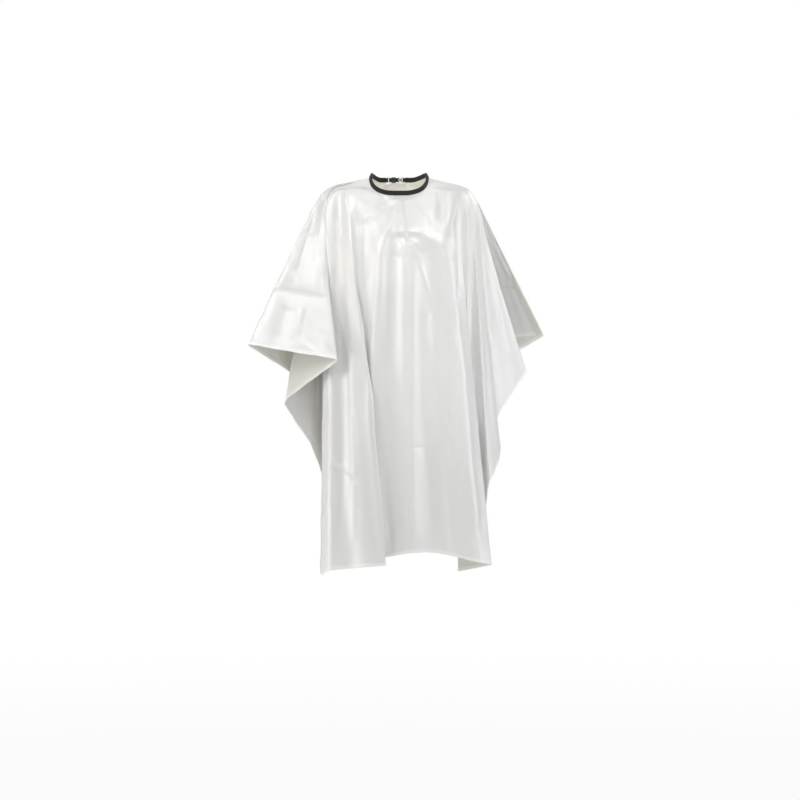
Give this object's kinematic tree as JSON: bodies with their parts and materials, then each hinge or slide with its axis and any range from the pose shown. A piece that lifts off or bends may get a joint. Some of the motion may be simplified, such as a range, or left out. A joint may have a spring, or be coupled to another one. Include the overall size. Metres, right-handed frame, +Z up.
{
  "type": "barber cape",
  "caption": "White satin hairdressing cape worn round the neck, with a black bound neck and an adjustable elastic hook-and-eye strap at the nape.",
  "frame": {"origin": "the centre-front neck point, on the inner face of the black neck binding, halfway up it", "axes": "+Z up, the wearer faces -Y so the front of the cape is at -Y, +X to the right of a person facing the wearer"},
  "size_m": [0.7996, 0.4468, 1.0821],
  "materials": {
    "satin": "white polyester satin, soft sheen",
    "bias_tape": "matt woven black tape",
    "gold_wire": "pale gold plated, bright",
    "elastic": "ribbed black elastic",
    "slider_plastic": "moulded, satin",
    "white_thread": "matt",
    "black_thread": "matt"
  },
  "bodies": {
    "cape": {"cape_panel": "satin", "neck_binding": "bias_tape", "tab_left": "bias_tape", "tab_right": "bias_tape", "hem_thread": "white_thread", "slit_thread_left": "white_thread", "slit_thread_right": "white_thread", "binding_thread": "black_thread", "bartack_left": "black_thread", "bartack_right": "black_thread"},
    "ring": {"adjuster_ring": "gold_wire"},
    "strap": {"elastic_strap": "elastic", "strap_hook": "gold_wire"},
    "slider": {"slider": "slider_plastic"},
    "eye": {"eye_ring": "gold_wire"}
  },
  "joints": [
    {"name": "ring_swing", "type": "hinge", "parent": "cape", "child": "ring", "pos_m": [-0.0316, 0.1397, 0.034], "axis": [0, 0, 1], "range_deg": [0, 60]},
    {"name": "strap_swing", "type": "hinge", "parent": "ring", "child": "strap", "pos_m": [-0.0252, 0.1397, 0.034], "axis": [0, 0, 1], "range_deg": [0, 100]},
    {"name": "slider_slide", "type": "slide", "parent": "strap", "child": "slider", "axis": [1, 0, 0], "range_m": [-0.0015, 0.0025]},
    {"name": "eye_swing", "type": "hinge", "parent": "cape", "child": "eye", "pos_m": [0.0121, 0.1397, 0.034], "axis": [0, 0, 1], "range_deg": [0, 45]}
  ]
}
